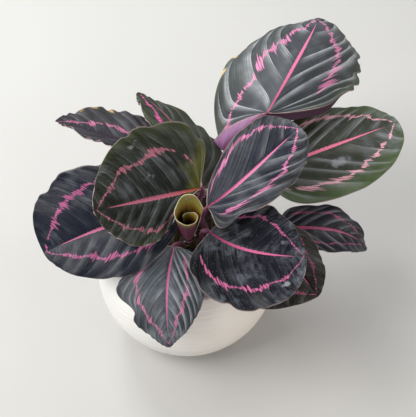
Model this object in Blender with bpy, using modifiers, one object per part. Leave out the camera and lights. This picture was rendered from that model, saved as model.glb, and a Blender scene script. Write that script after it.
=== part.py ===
"""Potted calathea: a glazed bowl pot, its soil, eleven open leaves on stalks and one rolled young leaf.

Metres, +Z up. The origin is the centre of the pot's underside. -Y is the side that faces the viewer.
Every blade and stalk is worked out from the same leaf formula and one row of the LEAVES table.
"""
import math

import bmesh
import bpy
import numpy as np

# Driving dimensions, metres.
POT_RADIUS = 0.075          # widest ring of the bowl, outside
POT_CENTRE_Z = 0.0585       # height of the widest ring
POT_RIM_Z = 0.0953          # top of the lip, before rounding
POT_WALL = 0.006
POT_FLOOR = 0.007
SOIL_Z = 0.083              # flat top of the soil, where the stalks stand
CLUMP = (0.004, 0.008)      # middle of the clump of stalks, x and y
GAP = 0.0003                # clearance between neighbouring solids
SOIL_GAP = 0.0005           # from the soil to the bowl, whose flat facets differ

BLADE_THICKNESS = 0.0009
RIB_THICKNESS = 0.0024      # blade thickness at the midrib, on the underside
STALK_RADIUS = 0.0018
SHEATH_RADIUS = 0.0028      # stalk at the soil
BLADE_CLEARANCE = 0.0009    # from a stalk's end to its blade
TILT_CLEARANCE = 0.0035     # more of it where the stalk stands upright under the blade
ROOT_DEPTH = 0.008          # how far a stalk stands in the soil
SWELLING = 0.0003           # how much thicker a stalk gets below its blade
SHEATH_PART = 0.45          # share of a stalk's length over which its sheath thins out
SWELLING_PART = 0.3         # share of it that swells
RIB_PART = 0.2              # share of each half blade over which the midrib thins out

# Colours.
BLUE_BLACK = (0.020, 0.022, 0.034)
OLIVE = (0.032, 0.040, 0.018)
YOUNG_GREEN = (0.30, 0.32, 0.07)
STALK_PURPLE = (0.16, 0.03, 0.07)
YOUNG_PURPLE = (0.20, 0.04, 0.09)
GLAZE = (0.80, 0.76, 0.70)
EARTH = (0.045, 0.034, 0.027)

# Mesh fineness.
POT_STEPS = 48
ARC_POINTS = 10
BLADE_COLUMNS = 10
BLADE_ROWS = 12
SCROLL_COLUMNS = 30
SCROLL_ROWS = 6
STALK_POINTS = 12
HOLE_SIDES = 12

# What a leaf is like unless its row in LEAVES says otherwise. A pair is the left and right half of the
# blade, looking from its base to its tip with the upper face up.
LEAF = {
    "roll": 0.0,                # degrees about the midrib
    "twist": 0.0,               # degrees of extra roll from base to tip
    "arch": (0.3, 0.3),         # rise of the midrib after the base and before the tip
    "bow": 0.0,                 # sideways bend of the midrib, positive to the right
    "half": (0.040, 0.040),     # half widths, metres
    "widest": (0.45, 0.45),     # where each half is widest, as a fraction of the length
    "base_round": (0.5, 0.5),   # powers of the outline, small is blunt
    "tip_round": (0.62, 0.62),
    "lobe": (0.06, 0.06),       # how far the base of each half reaches back
    "lobe_span": (0.45, 0.45),  # share of the length that takes part in it
    "slope": (8.0, 8.0),        # degrees that each half rises from the midrib
    "bend": (-10.0, -10.0),     # degrees that it turns over towards its margin
    "base_slope": (0.0, 0.0),   # more slope near the base
    "tip_slope": (0.0, 0.0),    # more slope near the tip
    "curl": (0.0, 0.0),         # how far the margin turns up beside the base, metres
    "curl_span": 0.3,           # share of the length over which it does
    "wave": 0.002,              # height of the margin's waves, metres
    "waves": 3.0,
    "phase": (0.0, 0.4),
    "sweep": 0.14,              # how far the side veins run forward
    "dents": (),                # (side, fraction of the length, depth, width) of each hollow in the margin
    "upright": 0.0,             # how far the stalk stands up under the blade, 0 is in line with the midrib
    "aside": 0.0,               # how far it comes in from the left
    "handles": (0.38, 0.25),    # how stiffly it leaves the soil and meets the blade
    "seat": 0.0,                # extra distance from the stalk's end to the blade, metres
    "colour": BLUE_BLACK,
}

# base, tip: ends of the midrib. root: where the stalk stands, from the clump's middle.
LEAVES = {
    "high_back": dict(
        base=(0.065, 0.060, 0.177), tip=(0.120, 0.200, 0.178), root=(0.019, 0.012), half=(0.092, 0.058),
        widest=(0.32, 0.52), base_round=(0.8, 0.7), tip_round=(0.95, 0.7), lobe=(0.38, -0.02),
        lobe_span=(0.65, 0.45), slope=(-8, -8), bend=(-38, -34), base_slope=(-24, -8),
        curl=(0.010, 0.010), dents=((1, 0.33, 0.08, 0.08),), arch=(0.35, 0.3), bow=0.035, upright=0.25,
        aside=0.6, handles=(0.6, 0.48), seat=0.003),
    "centre": dict(
        base=(0.017, -0.025, 0.155), tip=(0.089, 0.040, 0.178), root=(0.014, -0.004), half=(0.030, 0.029),
        widest=(0.68, 0.6), base_round=(1.1, 0.5), tip_round=(0.5, 0.55), lobe=(0.06, 0.2), roll=18,
        dents=((1, 0.3, 0.16, 0.08),), arch=(-0.25, 0), upright=0.7),
    "right": dict(
        base=(0.061, 0.035, 0.135), tip=(0.181, 0.092, 0.142), root=(0.021, 0.003), half=(0.034, 0.045),
        tip_round=(0.62, 0.48), roll=24, arch=(0, 0), upright=0.3, colour=OLIVE),
    "high_left": dict(
        base=(0.012, 0.000, 0.150), tip=(-0.066, -0.032, 0.158), root=(-0.005, 0.002), half=(0.034, 0.057),
        widest=(0.62, 0.32), base_round=(1.4, 0.7), tip_round=(0.62, 0.62), lobe=(-0.06, 0.28),
        lobe_span=(0.45, 0.3), roll=-34, arch=(0, 0), upright=0.6, colour=OLIVE),
    "low_left": dict(
        base=(-0.003, -0.011, 0.138), tip=(-0.109, -0.034, 0.114), root=(-0.013, -0.003),
        half=(0.041, 0.051), widest=(0.45, 0.66), lobe=(-0.05, 0.06), tip_round=(0.62, 0.4), roll=-40,
        dents=((1, 0.8, 0.12, 0.05),), arch=(0.3, 0.2), upright=0.4),
    "front": dict(
        base=(-0.009, -0.025, 0.111), tip=(-0.011, -0.094, 0.075), root=(-0.007, -0.013),
        half=(0.028, 0.039), widest=(0.5, 0.38), tip_round=(0.9, 0.9), lobe=(0.06, -0.12),
        slope=(8, 0), bend=(-10, -14), dents=((1, 0.66, 0.22, 0.08),), arch=(0.5, 0.9), bow=0.04,
        upright=0.3),
    "front_right": dict(
        base=(0.019, -0.029, 0.132), tip=(0.090, -0.052, 0.130), root=(0.009, -0.015), half=(0.040, 0.049),
        widest=(0.45, 0.45), base_round=(0.5, 0.55), tip_round=(0.62, 0.45), lobe=(0, 0.08),
        lobe_span=(0.45, 0.3), roll=16, bow=0.07, arch=(-0.3, 0), upright=0.4),
    "low_right": dict(
        base=(0.051, -0.006, 0.116), tip=(0.100, -0.067, 0.102), root=(0.019, -0.012), half=(0.026, 0.060),
        roll=8, arch=(0.3, 0.3), upright=0.2),
    "small_right": dict(
        base=(0.075, 0.004, 0.104), tip=(0.148, -0.005, 0.087), root=(0.027, -0.005), half=(0.021, 0.020),
        tip_round=(1.0, 0.62), roll=20, arch=(0.2, 0.9)),
    "small_left": dict(
        base=(-0.020, 0.083, 0.118), tip=(-0.115, 0.098, 0.138), root=(-0.010, 0.010), half=(0.012, 0.036),
        widest=(0.45, 0.5), tip_round=(1.2, 0.9), arch=(-0.2, 0)),
    "back": dict(
        base=(0.013, 0.043, 0.110), tip=(-0.047, 0.146, 0.133), root=(0.001, 0.010), half=(0.024, 0.038),
        widest=(0.45, 0.28), tip_round=(0.62, 1.5), lobe=(0.06, 0.1), slope=(8, -6), bend=(-10, -22),
        roll=10, arch=(0.1, 0.1), bow=0.09, upright=0.4),
}

# The young leaf, rolled round its own axis.
ROLLED_BASE = (0.003, -0.033, 0.131)
ROLLED_TOP = (0.003, -0.040, 0.162)
ROLLED_ROOT = (0.001, -0.006)
ROLLED_RADIUS = (0.0038, 0.0118)    # at the base and at the mouth, outside
ROLLED_TURNS = 1.35
ROLLED_END = 0.35                   # angle of the outer edge, radians from +X
ROLLED_FLAP = (0.86, 0.14, 0.30)    # place across, width and height of the taller part of its mouth

ROLLED_INNER = 0.45                 # radius of the inner edge, as a share of the outer one's

# Shares of a blade's length and width in the leaf formula.
LOBE_PEAK = 6.75        # makes the highest value of x (1 - x)^2 one
LEAST_WIDTH = 0.015     # keeps the ends of the outline open
BASE_PART = 0.55        # how far base_slope reaches from the base
TIP_PART = 0.5          # how far tip_slope reaches from the tip


# ---- Leaf formula, in numpy ----

def unit(vectors):
    """Vectors scaled to length one."""
    vectors = np.asarray(vectors, float)
    return vectors / np.linalg.norm(vectors, axis=-1, keepdims=True)


def leaf_axes(leaf):
    """Start and length of the midrib's chord, with its forward, up and right directions."""
    base = np.array(leaf["base"])
    chord = np.array(leaf["tip"]) - base
    length = np.linalg.norm(chord)
    forward = chord / length
    up = unit(np.array((0.0, 0.0, 1.0)) - forward * forward[2])
    return base, length, forward, up, np.cross(forward, up)


def midrib(leaf, along):
    """Point and direction of the midrib, and the blade's right and up there, for an array of fractions."""
    base, length, forward, up, right = leaf_axes(leaf)
    a = np.asarray(along, float)[..., None]
    early, late = leaf["arch"]
    rise = early * a * (1 - a) ** 2 + late * a * a * (1 - a)
    rise_rate = early * ((1 - a) ** 2 - 2 * a * (1 - a)) + late * (2 * a * (1 - a) - a * a)
    side = leaf["bow"] * 4 * a * (1 - a)
    side_rate = leaf["bow"] * 4 * (1 - 2 * a)
    point = base + length * (forward * a + up * rise + right * side)
    direction = unit(forward + up * rise_rate + right * side_rate)
    flat_up = unit(up - direction * np.sum(direction * up, -1, keepdims=True))
    flat_right = np.cross(direction, flat_up)
    roll = np.radians(leaf["roll"] + leaf["twist"] * (a - 0.5))
    blade_up = flat_up * np.cos(roll) + flat_right * np.sin(roll)
    return point, direction, np.cross(direction, blade_up), blade_up


def blade_point(leaf, u, v):
    """Points of the blade's upper face. u is -1 to 1 across it, and v is 0 to 1 from base to tip."""
    def pick(name):
        return np.where(u < 0, *leaf[name])

    edge = np.abs(u)
    swept = v + leaf["sweep"] * edge ** 1.5 * 4 * v * (1 - v)
    widest = pick("widest")
    near_base = np.clip(1 - ((widest - swept) / widest) ** 2, 0, 1) ** pick("base_round")
    near_tip = np.clip(1 - ((swept - widest) / (1 - widest)) ** 2, 0, 1) ** pick("tip_round")
    half = pick("half")
    outline = np.maximum(np.where(swept < widest, near_base, near_tip), LEAST_WIDTH)
    for side, place, depth, width in leaf["dents"]:
        dent = depth * edge ** 3 * np.exp(-((swept - place) / width) ** 2)
        outline = outline * (1 - np.where(np.sign(u) == side, dent, 0))
    back = np.clip(v / pick("lobe_span"), 0, 1)
    along = swept - pick("lobe") * edge ** 2 * LOBE_PEAK * back * (1 - back) ** 2
    point, _, right, up = midrib(leaf, along)

    base_part = np.clip(1 - along / BASE_PART, 0, 1) ** 1.5
    tip_part = np.clip(1 - (1 - along) / TIP_PART, 0, 1) ** 1.5
    start = np.radians(pick("slope") + pick("base_slope") * base_part + pick("tip_slope") * tip_part)
    bend = np.radians(pick("bend"))
    turned = start + bend * edge * outline
    out = half / bend * (np.sin(turned) - np.sin(start))
    rise = half / bend * (np.cos(start) - np.cos(turned))
    beat = np.sin(2 * np.pi * (leaf["waves"] * v + pick("phase")))
    rise = rise + leaf["wave"] * edge ** 2.5 * beat * np.sqrt(np.clip(4 * v * (1 - v), 0, 1))
    curled = np.clip(1 - v / leaf["curl_span"], 0, 1) ** 0.7
    rise = rise + pick("curl") * edge ** 5 * outline * curled
    return point + right * (np.sign(u) * out)[..., None] + up * rise[..., None]


def stalk_path(root, end, direction, stiffness, points):
    """Points from the bottom of a stalk's hole in the soil up to its end, which it reaches in a direction."""
    foot = np.array((CLUMP[0] + root[0], CLUMP[1] + root[1], SOIL_Z))
    reach = np.linalg.norm(end - foot)
    low, high = stiffness
    handles = (foot, foot + (0, 0, low * reach), end - direction * high * reach, end)
    t = np.linspace(0, 1, points - 1)[:, None]
    weights = ((1 - t) ** 3, 3 * t * (1 - t) ** 2, 3 * t * t * (1 - t), t ** 3)
    curve = sum(weight * handle for weight, handle in zip(weights, handles))
    bottom = foot - (0, 0, ROOT_DEPTH - GAP)
    return np.vstack((bottom, curve))


def leaf_stalk(leaf, points):
    """The stalk of an open leaf, which ends just short of the blade's base."""
    base, forward, right, up = (part[0] for part in midrib(leaf, np.array([0.0])))
    direction = unit(forward * (1 - leaf["upright"]) + up * leaf["upright"] + right * leaf["aside"])
    short = BLADE_CLEARANCE + TILT_CLEARANCE * leaf["upright"] + leaf["seat"]
    return stalk_path(leaf["root"], base - direction * short, direction, leaf["handles"], points)


def rolled_axes():
    """Base, axis, length and two cross directions of the rolled young leaf."""
    base = np.array(ROLLED_BASE)
    axis = np.array(ROLLED_TOP) - base
    length = np.linalg.norm(axis)
    axis = axis / length
    across = unit(np.cross(axis, (0.0, -1.0, 0.2)))
    return base, axis, length, across, np.cross(axis, across)


def rolled_point(u, v):
    """Points of the rolled leaf. u is 0 at its inner edge and 1 at its outer one, v runs up the axis."""
    base, axis, length, across, over = rolled_axes()
    low, high = ROLLED_RADIUS
    place, width, height = ROLLED_FLAP
    radius = (low + (high - low) * v ** 0.8) * (ROLLED_INNER + (1 - ROLLED_INNER) * u)
    angle = 2 * np.pi * ROLLED_TURNS * (1 - u) + ROLLED_END
    ring = across * np.cos(angle)[..., None] + over * np.sin(angle)[..., None]
    rise = length * v * (1 + height * np.exp(-((u - place) / width) ** 2) * v ** 2)
    return base + axis * rise[..., None] + ring * radius[..., None]


# ---- Blender ----

def clear_scene():
    """Remove whatever the file starts with."""
    for thing in list(bpy.data.objects):
        bpy.data.objects.remove(thing, do_unlink=True)


def make_collection(name):
    """A new collection in the scene."""
    group = bpy.data.collections.new(name)
    bpy.context.scene.collection.children.link(group)
    return group


def make_material(name, colour, roughness):
    """A plain non-metal material."""
    material = bpy.data.materials.new(name)
    material.use_nodes = True
    shader = material.node_tree.nodes["Principled BSDF"]
    shader.inputs["Base Color"].default_value = (*colour, 1.0)
    shader.inputs["Roughness"].default_value = roughness
    shader.inputs["Metallic"].default_value = 0.0
    return material


def add_object(name, data, group, material=None):
    """Link a mesh or curve as a named object."""
    thing = bpy.data.objects.new(name, data)
    group.objects.link(thing)
    if material:
        data.materials.append(material)
    return thing


def turned(name, profile, group, material):
    """A solid turned about Z from (radius, height) points that start and end on the axis."""
    mesh = bpy.data.meshes.new(name)
    edges = [(i, i + 1) for i in range(len(profile) - 1)]
    mesh.from_pydata([(radius, 0.0, z) for radius, z in profile], edges, [])
    thing = add_object(name, mesh, group, material)
    screw = thing.modifiers.new("Turn", "SCREW")
    screw.steps = POT_STEPS
    screw.render_steps = POT_STEPS
    screw.use_merge_vertices = True
    screw.merge_threshold = 0.0001
    screw.use_smooth_shade = True
    return thing


def ball_arc(radius, low, high, count):
    """(radius, height) points on the bowl's ball between two heights, low to high."""
    heights = np.linspace(low, high, count)
    return [(math.sqrt(radius ** 2 - (z - POT_CENTRE_Z) ** 2), z) for z in heights]


def build_pot(group):
    """Bowl pot: inside from the floor up, round the lip, and down the outside."""
    glaze = make_material("glaze", GLAZE, 0.35)
    lip_r = POT_WALL / 2
    lip_z = POT_RIM_Z - lip_r
    foot_z = 0.002
    inner = ball_arc(POT_RADIUS - POT_WALL, POT_FLOOR, lip_z, ARC_POINTS)
    outer = ball_arc(POT_RADIUS, foot_z, lip_z, ARC_POINTS + 2)[::-1]
    lip_x = (inner[-1][0] + outer[0][0]) / 2
    lip_half = (outer[0][0] - inner[-1][0]) / 2
    turns = np.radians((150, 120, 90, 60, 30))
    lip = [(lip_x + lip_half * math.cos(t), lip_z + lip_r * math.sin(t)) for t in turns]
    foot = [(outer[-1][0] - foot_z, 0.0), (0.0, 0.0)]
    return turned("pot", [(0.0, POT_FLOOR)] + inner + lip + outer + foot, group, glaze)


def build_soil(group, cutters, roots):
    """Soil that fills the bowl, with a hole for each stalk."""
    earth = make_material("soil", EARTH, 0.95)
    side_r = POT_RADIUS - POT_WALL - SOIL_GAP
    side = ball_arc(side_r, POT_FLOOR + GAP, SOIL_Z - 0.002, ARC_POINTS)[::-1]
    shoulder = (side[0][0] - 0.006, SOIL_Z)
    profile = [(0.0, SOIL_Z), shoulder] + side + [(0.0, POT_FLOOR + GAP)]
    soil = turned("soil", profile, group, earth)
    for number, (x, y) in enumerate(roots):
        hole = bmesh.new()
        bmesh.ops.create_cone(hole, cap_ends=True, segments=HOLE_SIDES, radius1=SHEATH_RADIUS + 2 * GAP,
                              radius2=SHEATH_RADIUS + 2 * GAP, depth=2 * ROOT_DEPTH)
        mesh = bpy.data.meshes.new(f"hole_{number}")
        hole.to_mesh(mesh)
        hole.free()
        cutter = add_object(f"hole_{number}", mesh, cutters)
        cutter.location = (CLUMP[0] + x, CLUMP[1] + y, SOIL_Z)
        cutter.hide_render = True
        cutter.display_type = "WIRE"
    cut = soil.modifiers.new("Holes", "BOOLEAN")
    cut.operation = "DIFFERENCE"
    cut.solver = "EXACT"
    cut.operand_type = "COLLECTION"
    cut.collection = cutters
    return soil


def shell(name, point_of, columns, rows, group, material):
    """A grid laid on point_of(x, y), both -1 to 1, and given thickness on its underside."""
    grid = bmesh.new()
    bmesh.ops.create_grid(grid, x_segments=columns, y_segments=rows, size=1.0)
    flat = np.array([vert.co[:] for vert in grid.verts])
    for vert, point in zip(grid.verts, point_of(flat[:, 0], flat[:, 1])):
        vert.co = point
    bmesh.ops.triangulate(grid, faces=grid.faces[:], quad_method="FIXED")
    mesh = bpy.data.meshes.new(name)
    grid.to_mesh(mesh)
    grid.free()
    mesh.shade_smooth()
    thing = add_object(name, mesh, group, material)
    solid = thing.modifiers.new("Thickness", "SOLIDIFY")
    solid.thickness = BLADE_THICKNESS
    solid.offset = -1.0
    return thing, flat


def build_blade(name, leaf, group, material):
    """One open blade, thicker at its midrib."""
    def point_of(x, y):
        spread = np.sign(x) * np.abs(x) ** 1.2
        fraction = (1 - np.cos(np.pi * (y + 1) / 2)) / 2
        return blade_point(leaf, spread, fraction)

    thing, flat = shell(f"blade_{name}", point_of, BLADE_COLUMNS, BLADE_ROWS, group, material)
    thinnest = BLADE_THICKNESS / RIB_THICKNESS
    rib = thing.vertex_groups.new(name="rib")
    for index, (x, y, _) in enumerate(flat):
        keel = max(0.0, 1 - abs(x) / RIB_PART) * max(0.0, 1 - ((y + 1) / 2) ** 2)
        rib.add([index], thinnest + (1 - thinnest) * keel, "REPLACE")
    solid = thing.modifiers["Thickness"]
    solid.thickness = RIB_THICKNESS
    solid.vertex_group = "rib"
    return thing


def build_stalk(name, path, radii, group, material):
    """A stalk along path, with a radius for each point."""
    curve = bpy.data.curves.new(name, "CURVE")
    curve.dimensions = "3D"
    curve.bevel_depth = STALK_RADIUS
    curve.bevel_resolution = 2
    curve.use_fill_caps = True
    line = curve.splines.new("POLY")
    line.points.add(len(path) - 1)
    for place, point, radius in zip(line.points, path, radii):
        place.co = (*point, 1.0)
        place.radius = radius / STALK_RADIUS
    return add_object(name, curve, group, material)


def stalk_radii(count):
    """Thick sheath at the soil, slim above it, and a slight swelling under the blade."""
    t = np.linspace(0, 1, count)
    sheath = (SHEATH_RADIUS - STALK_RADIUS) * np.clip(1 - t / SHEATH_PART, 0, 1)
    swelling = SWELLING * np.clip(1 - (1 - t) / SWELLING_PART, 0, 1)
    return STALK_RADIUS + sheath + swelling


def build_leaf(name, leaf, group):
    """One blade and its stalk."""
    face = make_material(f"leaf_{name}", leaf["colour"], 0.4)
    skin = make_material(f"stalk_{name}", STALK_PURPLE, 0.5)
    build_blade(name, leaf, group, face)
    path = leaf_stalk(leaf, STALK_POINTS)
    build_stalk(f"stalk_{name}", path, stalk_radii(STALK_POINTS), group, skin)


def build_rolled_leaf(group):
    """The young leaf, a scroll that widens to its mouth, on its own stalk."""
    def point_of(x, y):
        return rolled_point((x + 1) / 2, (y + 1) / 2)

    face = make_material("leaf_rolled", YOUNG_GREEN, 0.45)
    skin = make_material("stalk_rolled", YOUNG_PURPLE, 0.5)
    scroll, _ = shell("blade_rolled", point_of, SCROLL_COLUMNS, SCROLL_ROWS, group, face)
    scroll.modifiers["Thickness"].offset = 0.0
    base, axis, _, _, _ = rolled_axes()
    path = stalk_path(ROLLED_ROOT, base - axis * (BLADE_THICKNESS + GAP), axis, LEAF["handles"], STALK_POINTS)
    radii = stalk_radii(STALK_POINTS)
    radii = radii + (ROLLED_RADIUS[0] - radii[-1]) * np.linspace(0, 1, STALK_POINTS) ** 4
    build_stalk("stalk_rolled", path, radii, group, skin)


def build():
    """Every sub-part of the plant."""
    clear_scene()
    group = make_collection("potted_calathea")
    cutters = make_collection("cutters")
    leaves = {name: dict(LEAF, **row) for name, row in LEAVES.items()}
    build_pot(group)
    build_soil(group, cutters, [leaf["root"] for leaf in leaves.values()] + [ROLLED_ROOT])
    for name, leaf in leaves.items():
        build_leaf(name, leaf, group)
    build_rolled_leaf(group)


build()
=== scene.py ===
"""Looks of the potted calathea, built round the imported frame.

Metres, +Z up, in the frame's own axes. Every blade and stalk repeats the part's leaf formula with a finer
mesh, and adds its pleats, waves and torn edges. -Y is the side that faces the viewer.
"""
import math
import random

import bpy
import numpy as np
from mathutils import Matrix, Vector, noise


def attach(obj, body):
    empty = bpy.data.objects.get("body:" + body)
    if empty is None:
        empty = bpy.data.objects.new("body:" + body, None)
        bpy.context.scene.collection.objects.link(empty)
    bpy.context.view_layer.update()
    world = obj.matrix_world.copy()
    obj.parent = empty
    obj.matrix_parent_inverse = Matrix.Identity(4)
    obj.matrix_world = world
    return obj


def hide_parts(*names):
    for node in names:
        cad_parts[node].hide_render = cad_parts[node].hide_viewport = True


# The part's driving dimensions, metres.
POT_RADIUS = 0.075
POT_CENTRE_Z = 0.0585
POT_RIM_Z = 0.0953
POT_WALL = 0.006
POT_FLOOR = 0.007
SOIL_Z = 0.083
CLUMP = (0.004, 0.008)
STALK_RADIUS = 0.0018
SHEATH_RADIUS = 0.0028
ROOT_DEPTH = 0.006

# Camera, metres and degrees.
CAMERA_PLACE = (0.0175, -0.4289, 0.5573)
CAMERA_TILT = 45.0
CAMERA_LENS = 66.5

# Mesh fineness.
BLADE_COLUMNS = 72
BLADE_ROWS = 110
STALK_SIDES = 16
STALK_POINTS = 48
POT_STEPS = 160
FOLD_COLUMNS = 120
FOLD_ROWS = 12
SCROLL_COLUMNS = 160
SCROLL_ROWS = 60

# Fine shapes that only the scene has, metres unless it says otherwise.
BLADE_THICKNESS = 0.0022         # at the base of the midrib
THIN_SHARE = 0.27                # share of it that is left away from the midrib
GROOVE_DEPTH = 0.0006            # of the groove along the midrib
FOLD_REACH = (0.11, 0.28)        # shares of the leaf that its folded margin takes, left and right
FOLD_DROP = (0.019, 0.008)       # how far that margin hangs, left and right
FOLD_AIM = (0.02, 0.05, 0.0)     # where it curls in to, from above
FOLD_SHIFT = (0.0, 0.0, 0.0006)  # how far it lies under the blade
FOLD_THICKNESS = 0.0007
SCROLL_THICKNESS = 0.0006
STALK_TUCK = 0.0006              # how far a stalk ends under the midrib
STALK_SWELLING = 0.0005
SHEATH_TAPER = 2.2               # one over the share of a stalk that its sheath takes
FOOT_Z = 0.002                   # where the bowl's ball starts above its foot
THROW_RIDGE = 0.00012            # height of the bowl's throwing lines
SOIL_LUMPS = ((160, 0.0012), (420, 0.0008), (40, 0.001))  # how close and how high the lumps are
BITS_SUNK = 0.0008               # how deep bits lie in the soil

RIM_COLOUR = (0.46, 0.33, 0.32)  # thin pale margin of a leaf

# Name, place, size, power and colour of each soft light, and what they all face.
LIGHTS = (
    ("key", (-0.9, -0.35, 1.1), 0.9, 20.0, (1.0, 0.98, 0.95)),
    ("low", (1.15, -0.6, 0.35), 1.0, 7.0, (1.0, 0.96, 0.92)),
    ("fill", (0.9, 0.75, 1.2), 1.0, 7.0, (1.0, 0.98, 0.96)),
    ("back", (-0.5, 1.0, 1.1), 0.5, 11.0, (0.95, 0.98, 1.0)),
    ("side", (-1.1, 0.9, 0.65), 0.7, 6.0, (0.95, 0.98, 1.0)),
)
LIGHT_AIM = (0.0, 0.0, 0.1)
SKY_COLOUR = (0.93, 0.96, 1.0, 1.0)
SKY_STRENGTH = 0.4
FLOOR_SIZE = 12.0
FLOOR_Z = -0.0002

# What a leaf is like unless its row in LEAVES says otherwise, as in the part.
LEAF = {
    "roll": 0,                  # degrees about the midrib
    "arch": (0.3, 0.3),         # rise of the midrib after the base and before the tip
    "bow": 0,                   # sideways bend of the midrib, positive to the right
    "half": (0.04, 0.04),       # half widths, metres
    "widest": (0.45, 0.45),     # where each half is widest, as a fraction of the length
    "base_round": (0.5, 0.5),   # powers of the outline, small is blunt
    "tip_round": (0.62, 0.62),
    "lobe": (0.06, 0.06),       # how far the base of each half reaches back
    "lobe_span": (0.45, 0.45),  # share of the length that takes part in it
    "slope": (8, 8),            # degrees that each half rises from the midrib
    "bend": (-10, -10),         # degrees that it turns over towards its margin
    "base_slope": (0, 0),       # more slope near the base
    "curl": (0, 0),             # how far the margin turns up beside the base, metres
    "curl_span": 0.3,           # share of the length over which it does
    "wave": 0.002,              # height of the margin's waves, metres
    "waves": 3,
    "phase": (0, 0.4),
    "sweep": 0.14,              # how far the side veins run forward
    "dents": (),                # (side, along, depth, width) of each hollow in the margin
    "upright": 0,               # how far the stalk stands up under the blade, 0 in line with the midrib
    "aside": 0,                 # how far it comes in from the left
    "handles": (0.38, 0.25),    # how stiffly it leaves the soil and meets the blade
}

# base, tip: ends of the midrib. root: where the stalk stands, from the clump's middle.
LEAVES = {
    "high_back": dict(
        base=(0.065, 0.06, 0.177), tip=(0.12, 0.2, 0.178), root=(0.019, 0.012), half=(0.092, 0.058),
        widest=(0.32, 0.52), base_round=(0.8, 0.7), tip_round=(0.95, 0.7), lobe=(0.38, -0.02),
        lobe_span=(0.65, 0.45), slope=(-8, -8), bend=(-38, -34), base_slope=(-24, -8), curl=(0.01, 0.01),
        dents=((1, 0.33, 0.08, 0.08),), arch=(0.35, 0.3), bow=0.035, upright=0.25, aside=0.6,
        handles=(0.6, 0.48)),
    "centre": dict(
        base=(0.017, -0.025, 0.155), tip=(0.089, 0.04, 0.178), root=(0.014, -0.004), half=(0.03, 0.029),
        widest=(0.68, 0.6), base_round=(1.1, 0.5), tip_round=(0.5, 0.55), lobe=(0.06, 0.2), roll=18,
        dents=((1, 0.3, 0.16, 0.08),), arch=(-0.25, 0), upright=0.7),
    "right": dict(
        base=(0.061, 0.035, 0.135), tip=(0.181, 0.092, 0.142), root=(0.021, 0.003), half=(0.034, 0.045),
        tip_round=(0.62, 0.48), roll=24, arch=(0, 0), upright=0.3),
    "high_left": dict(
        base=(0.012, 0, 0.15), tip=(-0.066, -0.032, 0.158), root=(-0.005, 0.002), half=(0.034, 0.057),
        widest=(0.62, 0.32), base_round=(1.4, 0.7), lobe=(-0.06, 0.28), lobe_span=(0.45, 0.3), roll=-34,
        arch=(0, 0), upright=0.6),
    "low_left": dict(
        base=(-0.003, -0.011, 0.138), tip=(-0.109, -0.034, 0.114), root=(-0.013, -0.003),
        half=(0.041, 0.051), widest=(0.45, 0.66), lobe=(-0.05, 0.06), tip_round=(0.62, 0.4), roll=-40,
        dents=((1, 0.8, 0.12, 0.05),), arch=(0.3, 0.2), upright=0.4),
    "front": dict(
        base=(-0.009, -0.025, 0.111), tip=(-0.011, -0.094, 0.075), root=(-0.007, -0.013),
        half=(0.028, 0.039), widest=(0.5, 0.38), tip_round=(0.9, 0.9), lobe=(0.06, -0.12), slope=(8, 0),
        bend=(-10, -14), dents=((1, 0.66, 0.22, 0.08),), arch=(0.5, 0.9), bow=0.04, upright=0.3),
    "front_right": dict(
        base=(0.019, -0.029, 0.132), tip=(0.09, -0.052, 0.13), root=(0.009, -0.015), half=(0.04, 0.049),
        base_round=(0.5, 0.55), tip_round=(0.62, 0.45), lobe=(0, 0.08), lobe_span=(0.45, 0.3), roll=16,
        bow=0.07, arch=(-0.3, 0), upright=0.4),
    "low_right": dict(
        base=(0.051, -0.006, 0.116), tip=(0.1, -0.067, 0.102), root=(0.019, -0.012), half=(0.026, 0.06),
        roll=8, upright=0.2),
    "small_right": dict(
        base=(0.075, 0.004, 0.104), tip=(0.148, -0.005, 0.087), root=(0.027, -0.005), half=(0.021, 0.02),
        tip_round=(1, 0.62), roll=20, arch=(0.2, 0.9)),
    "small_left": dict(
        base=(-0.02, 0.083, 0.118), tip=(-0.115, 0.098, 0.138), root=(-0.01, 0.01), half=(0.012, 0.036),
        widest=(0.45, 0.5), tip_round=(1.2, 0.9), arch=(-0.2, 0)),
    "back": dict(
        base=(0.013, 0.043, 0.11), tip=(-0.047, 0.146, 0.133), root=(0.001, 0.01), half=(0.024, 0.038),
        widest=(0.45, 0.28), tip_round=(0.62, 1.5), lobe=(0.06, 0.1), slope=(8, -6), bend=(-10, -22),
        roll=10, arch=(0.1, 0.1), bow=0.09, upright=0.4),
}

# The young leaf, rolled round its own axis, as in the part.
ROLLED_BASE = (0.003, -0.033, 0.131)
ROLLED_TOP = (0.003, -0.04, 0.162)
ROLLED_ROOT = (0.001, -0.006)
ROLLED_RADIUS = (0.0038, 0.0118)  # at the base and at the mouth, outside
ROLLED_TURNS = 1.35
ROLLED_END = 0.35                 # angle of the outer edge, radians from +X
ROLLED_FLAP = (0.86, 0.14, 0.3)   # place across, width and height of the taller part of its mouth
ROLLED_INNER = 0.45               # radius of the inner edge, as a share of the outer one's

# Fixed numbers of the leaf formula, as in the part, and of the ring.
LOBE_PEAK = 6.75     # makes the highest value of x (1 - x)^2 one
LEAST_WIDTH = 0.015  # keeps the ends of the outline open
BASE_PART = 0.55     # how far base_slope reaches from the base
RING_TIP = 0.97      # where along the leaf it meets the midrib
RING_STROKES = 0.45  # how many strokes a millimetre

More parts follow.
